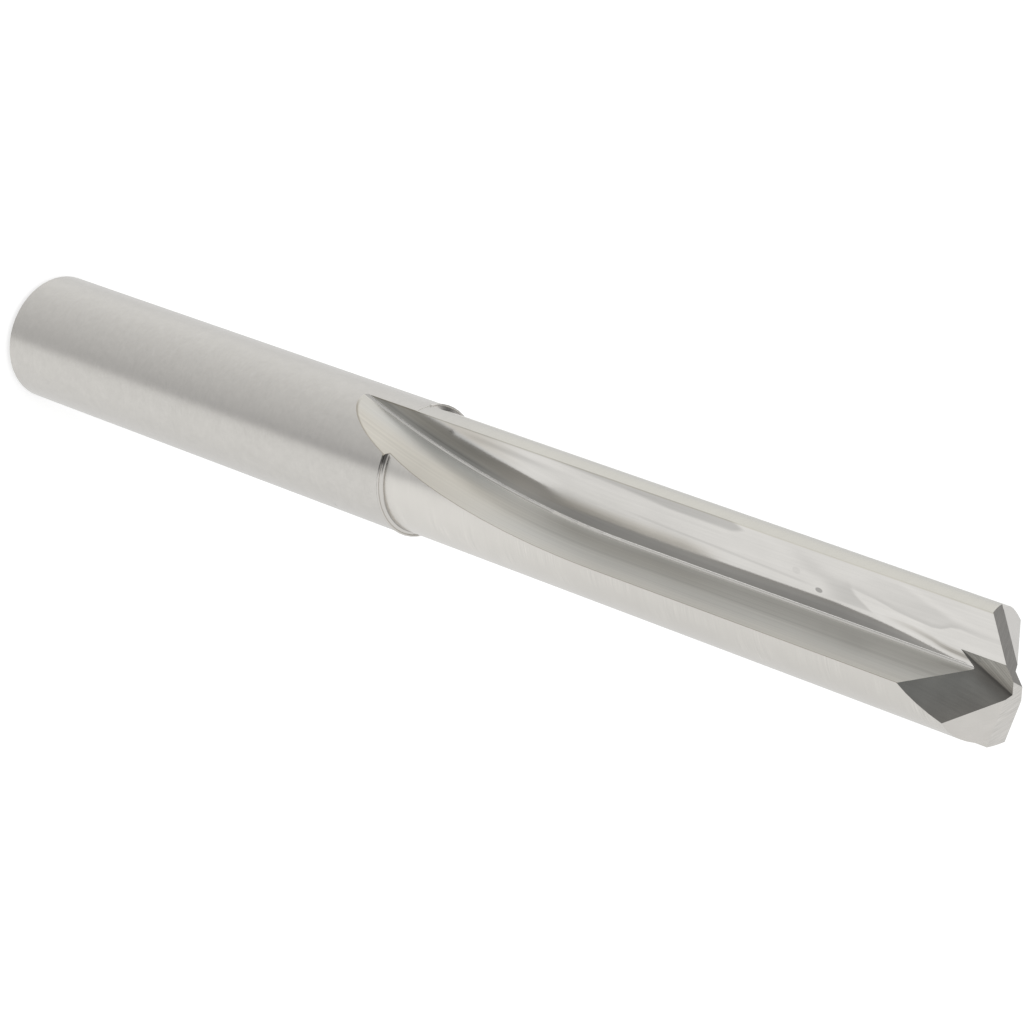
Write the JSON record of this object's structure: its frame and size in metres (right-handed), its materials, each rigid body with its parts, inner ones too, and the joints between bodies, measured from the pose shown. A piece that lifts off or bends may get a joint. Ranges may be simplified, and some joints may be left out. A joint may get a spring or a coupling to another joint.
{
  "type": "carbide drill bit",
  "caption": "Straight-flute solid carbide drill with a plain cylindrical shank, ground margins, stepped lands and a split point with flank facets.",
  "frame": {"origin": "centre of the flat shank end", "axes": "+Z along the drill axis from the shank end to the point, +X out along one cutting lip, parallel to it"},
  "size_m": [0.0122, 0.0122, 0.118],
  "materials": {
    "carbide": "ground and polished"
  },
  "bodies": {
    "root": {"drill_bit": "carbide"}
  },
  "joints": []
}
